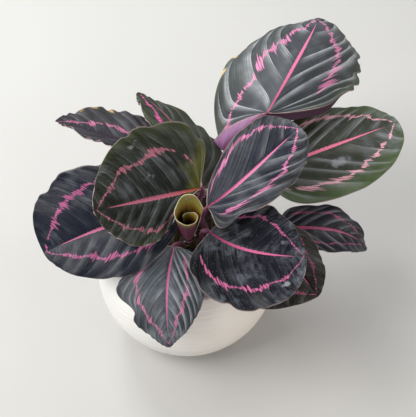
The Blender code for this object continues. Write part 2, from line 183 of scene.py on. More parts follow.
# How a leaf is dressed unless its row in LOOKS says otherwise. A pair is the left and right half.
LOOK = {
    "colour": (0.01, 0.011, 0.019),  # between the midrib and the ring
    "outer": (0.01, 0.011, 0.016),   # outside the ring
    "green": (0.03, 0.04, 0.016),    # of the margin
    "green_width": 0,                # share of the half width that it takes
    # colour towards the base: a yellow-green tint on the high left leaf, painted shade on the front right
    # one
    "base_tint_and_shade": (0.07, 0.065, 0.01),
    "base_length": 0,                # share of the length that it reaches
    "pink": (0.62, 0.115, 0.33),
    "rib": (0.66, 0.13, 0.3),
    "rib_low": (0.42, 0.05, 0.14),   # the midrib near the base
    "rib_width": 1.3,                # half width of the pink midrib, millimetres
    "ring": (0.66, 0.66),            # place of the ring, 0 at the midrib and 1 at the margin
    "ring_width": 0.055,
    "ring_start": (0.05, 0.05),      # where along the leaf it fades in
    "ring_gaps": 0.5,                # 0 for an unbroken ring, 1 for loose clumps
    "ring_close": 0.3,               # where along the leaf it starts to close
    "ring_flare": (0, 0),            # how far it swings out at the base
    "pleats": 6,                     # pleats along the leaf
    "pleat_start": 0.4,              # how much of a pleat comes before the base
    "pleat": 0.0007,                 # their height, metres
    "lean": 0.35,                    # how far forward the side veins run
    "sheen": 0.15,                   # brightness of the painted sheen on the pale side of each pleat
    "crease_highlight": 0.2,                   # brightness of the painted highlight along the veins between the pleats
    "dust_and_sheen": 0.4,                     # strength of the grey streaks, partly dusty and partly painted sheen
    "marks": 0,                      # strength of dried water marks
    "spots_and_shine": (),                     # (across, along, size, strength) of each pale mark: dried water marks, and on the right leaf the strongest is a painted highlight for a water drop's shine
    "gloss": 0.24,                   # roughness of the clean surface
    "specular": 0.18,                # strength of its reflections
    "fibre": 0.16,                   # brightness of the finest veins
    "nicks": (),                     # (side, along, depth, width) of each notch
    "ripple": 0.0006,                # height of the margin's small waves, metres
    "burn": (),                      # (side, along, width) of each dry stretch
    "burn_colour": (0.42, 0.22, 0.07),
    "slot": "leaf_dark",
}

LOOKS = {
    "high_back": dict(
        colour=(0.016, 0.019, 0.025), outer=(0.019, 0.026, 0.023), green=(0.034, 0.052, 0.018),
        green_width=0.22, ring=(0.4, 0.62), ring_width=0.08, ring_start=(-0.2, 0.14), ring_gaps=1,
        ring_close=0, ring_flare=(0.5, 0.1), rib_width=1.15, rib=(0.62, 0.15, 0.29),
        pink=(0.7, 0.22, 0.42), pleats=4.2, pleat_start=0.1, pleat=0.0022, lean=1, sheen=1, crease_highlight=1.2,
        dust_and_sheen=0.9, gloss=0.27, specular=0.32, fibre=0.5,
        nicks=((1, 0.955, 0.34, 0.014), (1, 0.72, 0.13, 0.012), (1, 0.58, 0.1, 0.014),
               (1, 0.48, 0.11, 0.02), (1, 0.36, 0.07, 0.03), (-1, 0.5, 0.03, 0.03)),
        burn=((-1, 0.57, 0.016), (-1, 0.52, 0.014), (-1, 0.44, 0.018), (1, 0.8, 0.02)),
        burn_colour=(0.66, 0.5, 0.22)),
    "centre": dict(
        colour=(0.012, 0.013, 0.026), ring=(0.86, 0.62), ring_width=0.066, ring_gaps=0.7,
        pink=(0.72, 0.22, 0.44), rib=(0.72, 0.2, 0.38), pleats=4.5, pleat=0.0012, lean=0.75, sheen=0.35,
        crease_highlight=0.3, dust_and_sheen=1.1, rib_width=1.05, specular=0.3, fibre=0.3, gloss=0.2,
        nicks=((1, 0.22, 0.06, 0.03), (1, 0.42, 0.05, 0.03), (1, 0.62, 0.03, 0.03))),
    "right": dict(
        colour=(0.022, 0.026, 0.012), outer=(0.034, 0.05, 0.013), green=(0.054, 0.09, 0.02),
        green_width=0.4, ring=(0.78, 0.68), ring_width=0.06, ring_gaps=1, pink=(0.86, 0.42, 0.5),
        rib=(0.8, 0.2, 0.32), pleats=4.5, pleat=0.0014, lean=0.65, sheen=0.45, crease_highlight=0.3, gloss=0.22,
        # the first pale mark is a painted highlight for the shine of a water drop
        specular=0.34, dust_and_sheen=0.9, marks=0.6, spots_and_shine=((0.35, 0.46, 0.11, 0.95), (-0.2, 0.25, 0.1, 0.5)),
        slot="leaf_olive"),
    "high_left": dict(
        colour=(0.006, 0.007, 0.004), outer=(0.01, 0.012, 0.005), green=(0.032, 0.04, 0.014),
        green_width=0.22, base_length=0.17, base_tint_and_shade=(0.07, 0.072, 0.01), ring=(0.72, 0.58),
        ring_width=0.06, ring_gaps=0.3, pink=(0.33, 0.11, 0.15), rib=(0.36, 0.1, 0.15),
        rib_low=(0.36, 0.07, 0.05), rib_width=1.5, pleats=7, pleat=0.0012, lean=0.28, sheen=0.12,
        dust_and_sheen=0.8, spots_and_shine=((0.8, 0.44, 0.09, 0.55), (0.3, 0.42, 0.12, 0.42)),
        nicks=((1, 0.1, 0.08, 0.03), (1, 0.26, 0.05, 0.03), (1, 0.42, 0.035, 0.03), (-1, 0.3, 0.04, 0.04)),
        ripple=0.0011, slot="leaf_olive"),
    "low_left": dict(
        colour=(0.008, 0.01, 0.021), outer=(0.008, 0.01, 0.019), ring=(0.6, 0.68), ring_width=0.07,
        pink=(0.46, 0.12, 0.27), rib=(0.5, 0.13, 0.26), dust_and_sheen=1.1, sheen=0.1,
        nicks=((1, 0.35, 0.05, 0.03), (1, 0.6, 0.04, 0.03), (-1, 0.45, 0.03, 0.04))),
    "front": dict(
        colour=(0.024, 0.032, 0.043), outer=(0.02, 0.027, 0.036), ring=(0.52, 0.62), ring_width=0.078,
        pink=(0.52, 0.15, 0.29), rib=(0.44, 0.11, 0.23), rib_width=0.72, pleat=0.0011, lean=0.75,
        sheen=0.7, crease_highlight=0.6, dust_and_sheen=2, gloss=0.34, specular=0.35, fibre=0.4, marks=0.6),
    "front_right": dict(
        # painted shade: the part of this leaf nearest its base is made near black, where it lies in shadow
        colour=(0.005, 0.005, 0.01), outer=(0.004, 0.004, 0.008), base_tint_and_shade=(0.002, 0.002, 0.003),
        base_length=0.55, ring=(0.7, 0.7), ring_width=0.042, pink=(0.5, 0.12, 0.26), rib=(0.6, 0.13, 0.28),
        rib_width=1, pleat=0.0003, sheen=0.05, dust_and_sheen=0.9, marks=1.1, specular=0.12,
        spots_and_shine=((0.65, 0.78, 0.07, 1), (-0.35, 0.75, 0.16, 0.4), (-0.3, 0.35, 0.12, 0.35)),
        nicks=((1, 0.14, 0.06, 0.03), (1, 0.32, 0.045, 0.03), (1, 0.52, 0.03, 0.03))),
    "low_right": dict(
        colour=(0.014, 0.011, 0.007), outer=(0.018, 0.015, 0.009), ring_width=0.06,
        pink=(0.38, 0.09, 0.18)),
    "small_right": dict(
        colour=(0.012, 0.012, 0.016), pink=(0.32, 0.08, 0.15), rib=(0.33, 0.08, 0.15), dust_and_sheen=0.7,
        pleat=0.0014, sheen=0.3),
    "small_left": dict(
        colour=(0.026, 0.024, 0.032), outer=(0.03, 0.027, 0.03), ring=(0.5, 0.38), ring_width=0.085,
        ring_start=(2, 0.15), ring_gaps=1, rib=(0.05, 0.022, 0.04), rib_low=(0.06, 0.02, 0.03),
        rib_width=0.7, pink=(0.54, 0.17, 0.3), pleat=0.0012,
        burn=((1, 0.6, 0.045), (1, 0.45, 0.03), (1, 0.72, 0.03)), burn_colour=(0.34, 0.22, 0.1),
        ripple=0.0014),
    "back": dict(
        colour=(0.024, 0.027, 0.016), outer=(0.026, 0.031, 0.015), green=(0.042, 0.052, 0.022),
        green_width=0.2, ring=(0.5, 0.5), ring_start=(0.45, 2), ring_width=0.11, rib=(0.34, 0.09, 0.15),
        rib_width=0.6, ripple=0.0014),
}


# ---- Leaf formula, as in the part ----

def unit(vectors):
    """Vectors scaled to length one."""
    vectors = np.asarray(vectors, float)
    return vectors / np.linalg.norm(vectors, axis=-1, keepdims=True)


def leaf_axes(leaf):
    """Start and length of the midrib's chord, with its forward, up and right directions."""
    base = np.array(leaf["base"])
    chord = np.array(leaf["tip"]) - base
    length = np.linalg.norm(chord)
    forward = chord / length
    up = unit(np.array((0.0, 0.0, 1.0)) - forward * forward[2])
    return base, length, forward, up, np.cross(forward, up)


def midrib(leaf, along):
    """Point and direction of the midrib, and the blade's right and up there, for an array of fractions."""
    base, length, forward, up, right = leaf_axes(leaf)
    a = np.asarray(along, float)[..., None]
    early, late = leaf["arch"]
    rise = early * a * (1 - a) ** 2 + late * a * a * (1 - a)
    rise_rate = early * ((1 - a) ** 2 - 2 * a * (1 - a)) + late * (2 * a * (1 - a) - a * a)
    side = leaf["bow"] * 4 * a * (1 - a)
    side_rate = leaf["bow"] * 4 * (1 - 2 * a)
    point = base + length * (forward * a + up * rise + right * side)
    direction = unit(forward + up * rise_rate + right * side_rate)
    flat_up = unit(up - direction * np.sum(direction * up, -1, keepdims=True))
    flat_right = np.cross(direction, flat_up)
    roll = np.radians(leaf["roll"])
    blade_up = flat_up * np.cos(roll) + flat_right * np.sin(roll)
    return point, direction, np.cross(direction, blade_up), blade_up


def blade_point(leaf, u, v):
    """Points of the blade's upper face. u is -1 to 1 across it, and v is 0 to 1 from base to tip."""
    def pick(name):
        return np.where(u < 0, *leaf[name])

    edge = np.abs(u)
    swept = v + leaf["sweep"] * edge ** 1.5 * 4 * v * (1 - v)
    widest = pick("widest")
    near_base = np.clip(1 - ((widest - swept) / widest) ** 2, 0, 1) ** pick("base_round")
    near_tip = np.clip(1 - ((swept - widest) / (1 - widest)) ** 2, 0, 1) ** pick("tip_round")
    half = pick("half")
    outline = np.maximum(np.where(swept < widest, near_base, near_tip), LEAST_WIDTH)
    for side, place, depth, width in leaf["dents"]:
        dent = depth * edge ** 3 * np.exp(-((swept - place) / width) ** 2)
        outline = outline * (1 - np.where(np.sign(u) == side, dent, 0))
    back = np.clip(v / pick("lobe_span"), 0, 1)
    along = swept - pick("lobe") * edge ** 2 * LOBE_PEAK * back * (1 - back) ** 2
    point, _, right, up = midrib(leaf, along)

    base_part = np.clip(1 - along / BASE_PART, 0, 1) ** 1.5
    start = np.radians(pick("slope") + pick("base_slope") * base_part)
    bend = np.radians(pick("bend"))
    turned = start + bend * edge * outline
    out = half / bend * (np.sin(turned) - np.sin(start))
    rise = half / bend * (np.cos(start) - np.cos(turned))
    beat = np.sin(2 * np.pi * (leaf["waves"] * v + pick("phase")))
    rise = rise + leaf["wave"] * edge ** 2.5 * beat * np.sqrt(np.clip(4 * v * (1 - v), 0, 1))
    curled = np.clip(1 - v / leaf["curl_span"], 0, 1) ** 0.7
    rise = rise + pick("curl") * edge ** 5 * outline * curled
    return point + right * (np.sign(u) * out)[..., None] + up * rise[..., None]


def stalk_path(root, end, direction, stiffness):
    """Points from below the soil up to a stalk's end, which it reaches in a direction."""
    foot = np.array((CLUMP[0] + root[0], CLUMP[1] + root[1], SOIL_Z))
    reach = np.linalg.norm(end - foot)
    low, high = stiffness
    handles = (foot, foot + (0, 0, low * reach), end - direction * high * reach, end)
    t = np.linspace(0, 1, STALK_POINTS - 1)[:, None]
    weights = ((1 - t) ** 3, 3 * t * (1 - t) ** 2, 3 * t * t * (1 - t), t ** 3)
    curve = sum(weight * handle for weight, handle in zip(weights, handles))
    return np.vstack((foot - (0, 0, ROOT_DEPTH), curve))


def rolled_axes():
    """Base, axis, length and two cross directions of the rolled young leaf."""
    base = np.array(ROLLED_BASE)
    axis = np.array(ROLLED_TOP) - base
    length = np.linalg.norm(axis)
    axis = axis / length
    across = unit(np.cross(axis, (0.0, -1.0, 0.2)))
    return base, axis, length, across, np.cross(axis, across)


def rolled_point(u, v):
    """Points of the rolled leaf. u is 0 at its inner edge and 1 at its outer one, v runs up the axis."""
    base, axis, length, across, over = rolled_axes()
    low, high = ROLLED_RADIUS
    place, width, height = ROLLED_FLAP
    radius = (low + (high - low) * v ** 0.8) * (ROLLED_INNER + (1 - ROLLED_INNER) * u)
    angle = 2 * np.pi * ROLLED_TURNS * (1 - u) + ROLLED_END
    ring = across * np.cos(angle)[..., None] + over * np.sin(angle)[..., None]
    rise = length * v * (1 + height * np.exp(-((u - place) / width) ** 2) * v ** 2)
    return base + axis * rise[..., None] + ring * radius[..., None]


# ---- Meshes ----

def linked(name, data):
    """A new object in the scene."""
    item = bpy.data.objects.new(name, data)
    bpy.context.scene.collection.objects.link(item)
    return item


def smooth_piece(name, points, faces):
    """A piece from arrays of points and faces."""
    mesh = bpy.data.meshes.new(name)
    mesh.from_pydata(points.tolist(), [], faces.tolist())
    mesh.shade_smooth()
    return linked(name, mesh)


def lofted(name, points, closed=False, **values):
    """A piece through a rows x columns array of points, with named values on its vertices."""
    rows, columns = points.shape[:2]
    index = np.arange(rows * columns).reshape(rows, columns)
    if closed:
        index = np.hstack((index, index[:, :1]))
    corners = (index[:-1, :-1], index[:-1, 1:], index[1:, 1:], index[1:, :-1])
    piece = smooth_piece(name, points.reshape(-1, 3), np.stack(corners, -1).reshape(-1, 4))
    for key, array in values.items():
        layer = piece.data.attributes.new(key, "FLOAT", "POINT")
        layer.data.foreach_set("value", np.ascontiguousarray(array, dtype=np.float32).ravel())
    return piece


def thicken(piece, thickness, offset, materials=1):
    """Give a face thickness. A second and third material go on its back and its edge."""
    solid = piece.modifiers.new("Thickness", "SOLIDIFY")
    solid.thickness = thickness
    solid.offset = offset
    solid.material_offset = min(1, materials - 1)
    solid.material_offset_rim = min(2, materials - 1)
    return solid


def dress(piece, materials, slot, *nodes):
    """Give a piece its materials, say what it rides on, and hide the CAD parts that it stands for. The slot
    is not used.
    """
    for material in materials:
        piece.data.materials.append(material)
    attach(piece, "root")
    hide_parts(*nodes)


# ---- Materials ----

class Value:
    """What one node of a paint gives. Sums can be written out, and make a node each."""

    def __init__(self, paint, socket):
        self.paint = paint
        self.socket = socket

    def __add__(self, other):
        return self.paint.math("ADD", self, other)

    __radd__ = __add__

    def __sub__(self, other):
        return self.paint.math("SUBTRACT", self, other)

    def __rsub__(self, other):
        return self.paint.math("SUBTRACT", other, self)

    def __mul__(self, other):
        return self.paint.math("MULTIPLY", self, other)

    def __pow__(self, other):
        return self.paint.math("POWER", self, other)

    def __abs__(self):
        return self.paint.math("ABSOLUTE", self)

    def scaled(self, factor, offset):
        """Times a factor, plus an offset."""
        return self.paint.math("MULTIPLY_ADD", self, factor, offset)

    def step(self, low, high):
        """0 below low, 1 above high, smooth between; the other way round if low is above high."""
        node = self.paint.node("MapRange", Value=self, From_Min=low, From_Max=high)
        node.interpolation_type = "SMOOTHSTEP"
        return Value(self.paint, node.outputs["Result"])


class Paint:
    """One material's nodes, with short calls for the common ones."""

    def __init__(self, name):
        self.material = bpy.data.materials.new(name)
        self.material.use_nodes = True
        self.tree = self.material.node_tree
        self.shader = self.tree.nodes["Principled BSDF"]

    def put(self, socket, value):
        """Link a socket to a value, or set its number or colour."""
        if isinstance(value, Value):
            self.tree.links.new(value.socket, socket)
        elif isinstance(value, tuple) and len(value) == 3 and socket.type == "RGBA":
            socket.default_value = (*value, 1)
        else:
            socket.default_value = value

    def fill(self, node, **values):
        """Put values in a node's inputs, with _ for a space in a name."""
        for name, value in values.items():
            self.put(node.inputs[name.replace("_", " ")], value)

    def node(self, kind, **values):
        """A new node with its inputs filled."""
        node = self.tree.nodes.new("ShaderNode" + kind)
        self.fill(node, **values)
        return node

    def surface(self, colour, roughness, height=None, distance=0, **others):
        """Fill the shader, bumped by a height of 0 to 1 that stands for distance metres."""
        self.fill(self.shader, Base_Color=colour, Roughness=roughness, **others)
        if height is not None:
            bump = self.node("Bump", Height=height, Distance=distance, Strength=1)
            self.put(self.shader.inputs["Normal"], Value(self, bump.outputs["Normal"]))
        return self.material

    def math(self, operation, a, b=0, c=0):
        """One sum."""
        node = self.node("Math")
        node.operation = operation
        for socket, value in zip(node.inputs, (a, b, c)):
            self.put(socket, value)
        return Value(self, node.outputs[0])

    def value(self, name):
        """A named value of the mesh."""
        node = self.node("Attribute")
        node.attribute_name = name
        return Value(self, node.outputs["Fac"])

    def place(self):
        """Object coordinates."""
        return Value(self, self.node("TexCoord").outputs["Object"])

    def noise(self, vector, scale, detail, rough):
        """Cloudy noise, about 0.25 to 0.75."""
        node = self.node("TexNoise", Vector=vector, Scale=scale, Detail=detail, Roughness=rough)
        return Value(self, node.outputs["Fac"])

    def cloud(self, scale, detail=2, rough=0.5):
        """Noise over the piece."""
        return self.noise(self.place(), scale, detail, rough)

    def streaks(self, x, y, detail=2, rough=0.5):
        """Noise over two values, drawn out along the one that changes less."""
        flat = Value(self, self.node("CombineXYZ", X=x, Y=y).outputs[0])
        return self.noise(flat, 1, detail, rough)

    def wobble(self, value, scale, detail=0):
        """Noise along one value, about -1 to 1."""
        node = self.node("TexNoise")
        node.noise_dimensions = "1D"
        self.fill(node, W=value, Scale=scale, Detail=detail)
        return (Value(self, node.outputs["Fac"]) - 0.5) * 3

    def cells(self, scale):
        """Distance to the nearest of scattered points."""
        node = self.node("TexVoronoi", Vector=self.place(), Scale=scale)
        return Value(self, node.outputs["Distance"])

    def mix(self, factor, a, b):
        """Colour a where factor is 0 and b where it is 1."""
        node = self.node("Mix")
        node.data_type = "RGBA"
        for index, value in ((0, factor), (6, a), (7, b)):
            self.put(node.inputs[index], value)
        return Value(self, node.outputs[2])


def darker(colour, share):
    """A colour with a share of its light."""
    return tuple(share * part for part in colour)


def right_half(paint):
    """1 on the right half of a blade and 0 on the left."""
    return paint.math("GREATER_THAN", paint.value("across"), 0)


# A number added to a track moves the noise along, so that no two patterns match.

def between(paint, pair):
    """The left or right number of a pair, by the half of the blade."""
    if pair[0] == pair[1]:
        return pair[0]
    return pair[0] + right_half(paint) * (pair[1] - pair[0])


def spread(paint, track, scale):
    """Noise along one value, stretched to 0 to 1."""
    return paint.wobble(track, scale, 1).scaled(0.9, 0.5)


def feather(paint, track):
    """How far the strokes of the ring reach to one side: a steady core with uneven ends."""
    return spread(paint, track, RING_STROKES).scaled(0.9, 0.15)


def ring_place(paint, look):
    """Where the ring runs: level beside the midrib, then in an arch that meets it near the tip."""
    along = paint.value("along")
    start = look["ring_close"]
    past = (along - start) * (1 / (RING_TIP - start))
    past = paint.math("MINIMUM", paint.math("MAXIMUM", past, 0), 1)
    arch = paint.math("SQRT", 1 - past * past)
    centre = arch * between(paint, look["ring"])
    if any(look["ring_flare"]):
        centre = centre + along.step(0.3, 0.04) * between(paint, look["ring_flare"])
    return centre


def ring_mask(paint, look, track, edge):
    """Where the ring is: strokes along the side veins, in clumps, thin or gone between them."""
    along = paint.value("along")
    centre = ring_place(paint, look) + paint.wobble(track, 0.05) * 0.05
    clump = paint.wobble(track, 0.1).step(-0.5, 0.6).scaled(1.1, 0.25)
    low = -1.3 + 0.6 * look["ring_gaps"]
    gate = paint.wobble(track + 500, 0.11).step(low, low + 0.25)
    begin = along - between(paint, look["ring_start"])
    gate = gate * begin.step(0, 0.12) * along.step(RING_TIP + 0.02, RING_TIP)
    width = clump * look["ring_width"] * gate
    inner = centre - width * feather(paint, track + 900)
    outer = centre + width * feather(paint, track + 1300)
    mask = edge.step(inner - 0.012, inner) * edge.step(outer + 0.012, outer)
    slit = paint.wobble(track + 77, 1.5 * RING_STROKES).step(-0.4, -0.05)
    return mask * slit.scaled(0.8, 0.2) * width.step(0.001, 0.01)


def rib_mask(paint, look, track):
    """Where the pink midrib is: slim at the base, ragged, and gone before the tip."""
    along = paint.value("along")
    reach = abs(paint.value("reach"))
    swell = along.step(0, 0.3).scaled(0.55, 0.45)
    taper = along.step(0.92, 0.45)
    ragged = spread(paint, track + 40, 0.8).scaled(0.5, 0.75)
    half = swell * taper * look["rib_width"] * ragged
    return reach.step(half + 0.35, half) * taper.step(0, 0.08)


def ground_paint(paint, look, edge):
    """Plain colour of the face: inside and outside the ring, greener to the margin, and towards the base
    yellow-green on one leaf and darkened as painted shade on another.
    """
    along = paint.value("along")
    past = (edge - ring_place(paint, look)).step(-0.08, 0.1)
    ground = paint.mix(past, look["colour"], look["outer"])
    patch = (paint.cloud(45, 3) - 0.5) * 0.5
    if look["green_width"]:
        inner = 1 - look["green_width"]
        ground = paint.mix((edge + patch).step(inner, 1.05), ground, look["green"])
    # towards the base: a yellow-green tint, and on the front right leaf painted shade
    if look["base_length"]:
        low = (along + patch).step(look["base_length"], 0)
        ground = paint.mix(low, ground, look["base_tint_and_shade"])
    return ground


def pleat_light_paint(paint, look, ground, track, edge):
    """Painted sheen on the pale side of each pleat, a painted highlight along the vein between pleats and
    painted shade on the dark side. Also how dull the surface is, 0 to 1.
    """
    fold = paint.math("FRACT", paint.value("fold"))
    fade = edge.step(0.02, 0.18) * edge.step(1, 0.8)
    streak = paint.streaks(track * 0.7, edge * 3, 4, 0.65)
    cloud = paint.cloud(30, 3)
    patch = streak.step(0.36, 0.66) * cloud.step(0.36, 0.58)
    pale = fold.step(0.42, 1) ** 1.6 * fade * patch.scaled(0.75, 0.25) * fold.step(1, 0.985)
    # painted sheen: a pale grey band on the side of each pleat that would reflect the sky
    ground = paint.mix(pale * (0.85 * look["sheen"]), ground, (0.6, 0.62, 0.64))
    # painted shade: darker just past the vein, on the side turned from the light
    shade = fold.step(0.32, 0.02) * fade
    ground = paint.mix(shade * (0.6 * min(1, look["sheen"])), ground, (0.008, 0.009, 0.012))
    # painted highlight: a thin bright line along the vein between pleats
    crease_highlight = abs(fold - 0.98).step(0.016, 0.004) * fade * cloud.step(0.34, 0.5)
    ground = paint.mix(crease_highlight * (0.7 * look["crease_highlight"]), ground, (0.5, 0.52, 0.54))
    return ground, 1 - pale


def dust_sheen_and_marks(paint, look, ground, track, edge):
    """Fine veins, grey streaks and patches that are partly dusty and partly painted sheen, and dried water
    marks on the ground. Also the mask of those streaks and marks.
    """
    fibre = paint.streaks(track * 2.2, edge * 5, 2)
    ground = paint.mix(fibre.step(0.4, 0.75) * look["fibre"], ground, (0.09, 0.1, 0.11))
    streak = paint.streaks(track * 0.35, edge * 2.5, 4, 0.6)
    cloud = paint.cloud(42, 4)
    # grey streaks and patches: partly dusty, partly painted sheen where the leaf would reflect the sky
    dust_and_sheen = (cloud * 0.6 + streak * 0.4).step(0.4, 0.68) ** 2.2
    ground = paint.mix(dust_and_sheen * min(1, 0.5 * look["dust_and_sheen"]), ground, (0.19, 0.205, 0.225))
    if look["marks"]:
        film = paint.cloud(160, 5, 0.7).step(0.48, 0.68) * cloud.step(0.42, 0.62)
        ground = paint.mix(film * (0.3 * look["marks"]), ground, (0.22, 0.25, 0.32))
        speck = paint.cells(330).step(0.16, 0.08)
        ground = paint.mix(speck * (0.13 * look["marks"]), ground, (0.4, 0.42, 0.46))
        dust_and_sheen = dust_and_sheen + film
    if look["spots_and_shine"]:
        ragged = (paint.cloud(230, 4, 0.65) - 0.5) * 1.3
        spot = (paint.value("spot") + ragged).step(0.3, 0.85)
        # pale marks: dried water marks, with one painted highlight for a water drop on the right leaf
        ground = paint.mix(spot * 0.6, ground, (0.34, 0.36, 0.39))
    return ground, fibre, dust_and_sheen


def face_paint(name, look, seed):
    """Upper face of a blade: dark ground, painted sheen, highlight and shade on the pleats, grey streaks
    that are partly painted sheen, pink midrib, feathered pink ring and margin.
    """
    paint = Paint(f"face_{name}")
    edge = abs(paint.value("across"))
    track = paint.value("track") + (right_half(paint) * 731 + seed * 97)

    ground = ground_paint(paint, look, edge)
    ground, dull = pleat_light_paint(paint, look, ground, track, edge)
    ground, fibre, dust_and_sheen = dust_sheen_and_marks(paint, look, ground, track, edge)

    ring = ring_mask(paint, look, track, edge) * fibre.step(0.3, 0.6).scaled(0.35, 0.65)
    ground = paint.mix(ring, ground, look["pink"])
    rib_colour = paint.mix(paint.value("along").step(0.45, 0), look["rib"], look["rib_low"])
    ground = paint.mix(rib_mask(paint, look, track), ground, rib_colour)

    ground = paint.mix(edge.step(0.978, 0.996) * 0.6, ground, darker(RIM_COLOUR, 0.5))
    if look["burn"]:
        crisp = paint.value("burn") - fibre.step(0.35, 0.6) * 0.35
        ground = paint.mix(crisp.step(0.2, 0.6), ground, look["burn_colour"])

    rough = look["gloss"] + dust_and_sheen * 0.22 + (fibre - 0.5) * 0.2 + dull * (0.2 * look["sheen"])
    height = fibre * 0.7 + paint.cloud(900) * 0.3
    return paint.surface(ground, rough, height, 0.00022, Specular_IOR_Level=look["specular"])


def under_paint(name, seed):
    """Underside of a blade: matt purple with paler veins."""
    paint = Paint(f"underside_{name}")
    track = paint.value("track") + seed * 37
    edge = abs(paint.value("across"))
    fibre = paint.streaks(track * 0.8, edge * 4, 3)
    cloud = paint.cloud(60, 3)
    colour = paint.mix(fibre.step(0.35, 0.7), (0.1, 0.022, 0.06), (0.2, 0.065, 0.15))
    colour = paint.mix(cloud.step(0.45, 0.7) * 0.5, colour, (0.26, 0.12, 0.22))
    rib = abs(paint.value("reach")).step(2.2, 1.2)
    colour = paint.mix(rib * 0.8, colour, (0.27, 0.05, 0.1))
    return paint.surface(colour, 0.5, fibre, 0.0003)


def rim_paint(name, colour):
    """The cut edge of a blade."""
    paint = Paint(f"margin_{name}")
    cloud = paint.cloud(120)
    return paint.surface(paint.mix(cloud.step(0.35, 0.65), colour, darker(colour, 0.6)), 0.5)


def stalk_paint(name, low, high):
    """Hairy stalk skin, low at the soil and high under the blade."""
    paint = Paint(name)
    mixed = paint.value("along") + (paint.cloud(90, 3) - 0.5) * 0.5
    colour = paint.mix(mixed.step(0.05, 0.6), low, high)
    fuzz = paint.cloud(1800)
    colour = paint.mix(fuzz.step(0.55, 0.75) * 0.35, colour, (0.45, 0.3, 0.33))
    return paint.surface(colour, 0.55, fuzz, 0.0004)


def glaze_paint():
    """Cream satin glaze with faint throwing lines, made warmer and darker on the +X side: partly the
    glaze's own tone, partly painted shade.
    """
    paint = Paint("glaze")
    split = paint.node("SeparateXYZ", Vector=paint.place())
    side, height = (Value(paint, split.outputs[axis]) for axis in "XZ")
    cloud = paint.cloud(22, 4)
    rings = paint.wobble(height, 420, 2)
    # painted shade: the +X side is made warmer and darker, partly as the glaze's own tone
    shaded_warm_side = (side + (cloud - 0.5) * 0.06).step(-0.03, 0.06)
    colour = paint.mix(shaded_warm_side * 0.8, (0.84, 0.83, 0.8), (0.8, 0.71, 0.62))
    colour = paint.mix(rings.step(0, 1) * 0.12, colour, (0.62, 0.54, 0.46))
    colour = paint.mix(paint.cells(260).step(0.09, 0.05) * 0.25, colour, (0.42, 0.33, 0.25))
    return paint.surface(colour, 0.32 + cloud * 0.2, rings * 0.4 + cloud, 0.0004,
                         Coat_Weight=0.25, Coat_Roughness=0.2)


def soil_paint():
    """Damp dark potting soil."""
    paint = Paint("soil")
    clump = paint.cloud(320, 4, 0.65)
    crumb = paint.cloud(1300)
    colour = paint.mix(clump.step(0.35, 0.7), (0.006, 0.0045, 0.0035), (0.035, 0.024, 0.016))
    colour = paint.mix(crumb.step(0.6, 0.75) * 0.5, colour, (0.07, 0.05, 0.035))
    return paint.surface(colour, 0.7 + crumb * 0.3, clump + crumb * 0.4, 0.0015)


def crumb_paint(name, dark, light, roughness):
    """Loose bits on the soil."""
    paint = Paint(name)
    cloud = paint.cloud(700, 3)
    return paint.surface(paint.mix(cloud.step(0.35, 0.65), dark, light), roughness, cloud, 0.0005)


def fold_paint():
    """The margin folded under the highest leaf: its purple underside painted as lit lilac on the left and
    as shaded dark purple on the right.
    """
    paint = Paint("fold")
    across, along = paint.value("across"), paint.value("along")
    fibre = paint.streaks(across * 60, along, 3)
    colour = paint.mix(along.step(0.1, 0.9) * 0.6, (0.34, 0.17, 0.33), (0.14, 0.04, 0.1))
    # painted shade: the right half is made dark purple where it lies in shadow
    colour = paint.mix(across.step(-0.12, 0.04), colour, (0.042, 0.009, 0.031))
    colour = paint.mix(fibre.step(0.62, 0.35) * 0.4, colour, (0.05, 0.012, 0.036))
    return paint.surface(colour, 0.42, fibre, 0.0004)


def young_fibre(paint):
    """Fine ribs that run up the rolled leaf."""
    return paint.streaks(paint.value("across") * 70, paint.value("along"), 3)


def young_inside():
    """Inner face of the rolled leaf: yellow-green at the mouth, orange-brown and dark down the roll."""
    paint = Paint("young_inside")
    fibre = young_fibre(paint)
    along = paint.value("along")
    cloud = paint.cloud(260, 3) - 0.5
    colour = paint.mix(along.step(0.98, 0.72), (0.3, 0.27, 0.055), (0.26, 0.13, 0.014))
    colour = paint.mix(along.step(0.88, 0.55), colour, (0.016, 0.006, 0.002))
    blush = (paint.value("across") + cloud).step(0.62, 0.86) * along.step(0.75, 1)
    colour = paint.mix(blush, colour, (0.2, 0.19, 0.05))
    spot = cloud.step(0.07, 0.13) * along.step(0.85, 0.95)
    colour = paint.mix(spot, colour, (0.5, 0.2, 0.25))
    colour = paint.mix(fibre.step(0.45, 0.7) * 0.35, colour, (0.25, 0.23, 0.08))
    return paint.surface(colour, 0.4, fibre, 0.0003)


def young_outside():
    """Outer face of the rolled leaf: wine purple, greener to the lip."""
    paint = Paint("young_outside")
    fibre = young_fibre(paint)
    along = paint.value("along")
    colour = paint.mix(along.step(0.72, 1), (0.09, 0.01, 0.038), (0.16, 0.13, 0.03))
    colour = paint.mix(along.step(0.25, 0), colour, (0.06, 0.05, 0.012))
    colour = paint.mix(fibre.step(0.45, 0.7) * 0.3, colour, (0.2, 0.08, 0.12))
    return paint.surface(colour, 0.45, fibre, 0.0003)


# ---- Pieces ----

def notched(look, u, v):
    """Share of the half width that is left by a leaf's notches."""
    left = np.ones_like(v)
    for side, along, depth, width in look["nicks"]:
        dent = depth * np.exp(-((v - along) / width) ** 2)
        left = left - np.where(np.sign(u) == side, dent, 0)
    return left


def vein_of(look, u, v):
    """Which side vein a point is on, as the place along the midrib where that vein starts."""
    return v - look["lean"] * np.abs(u) ** 1.2 * (1 - v ** 3)


def fold_of(look, vein):
    """Which pleat a vein is on. Whole numbers are the creases."""
    return look["pleats"] * vein + look["pleat_start"] + 0.18 * np.sin(9 * vein + look["pleats"])


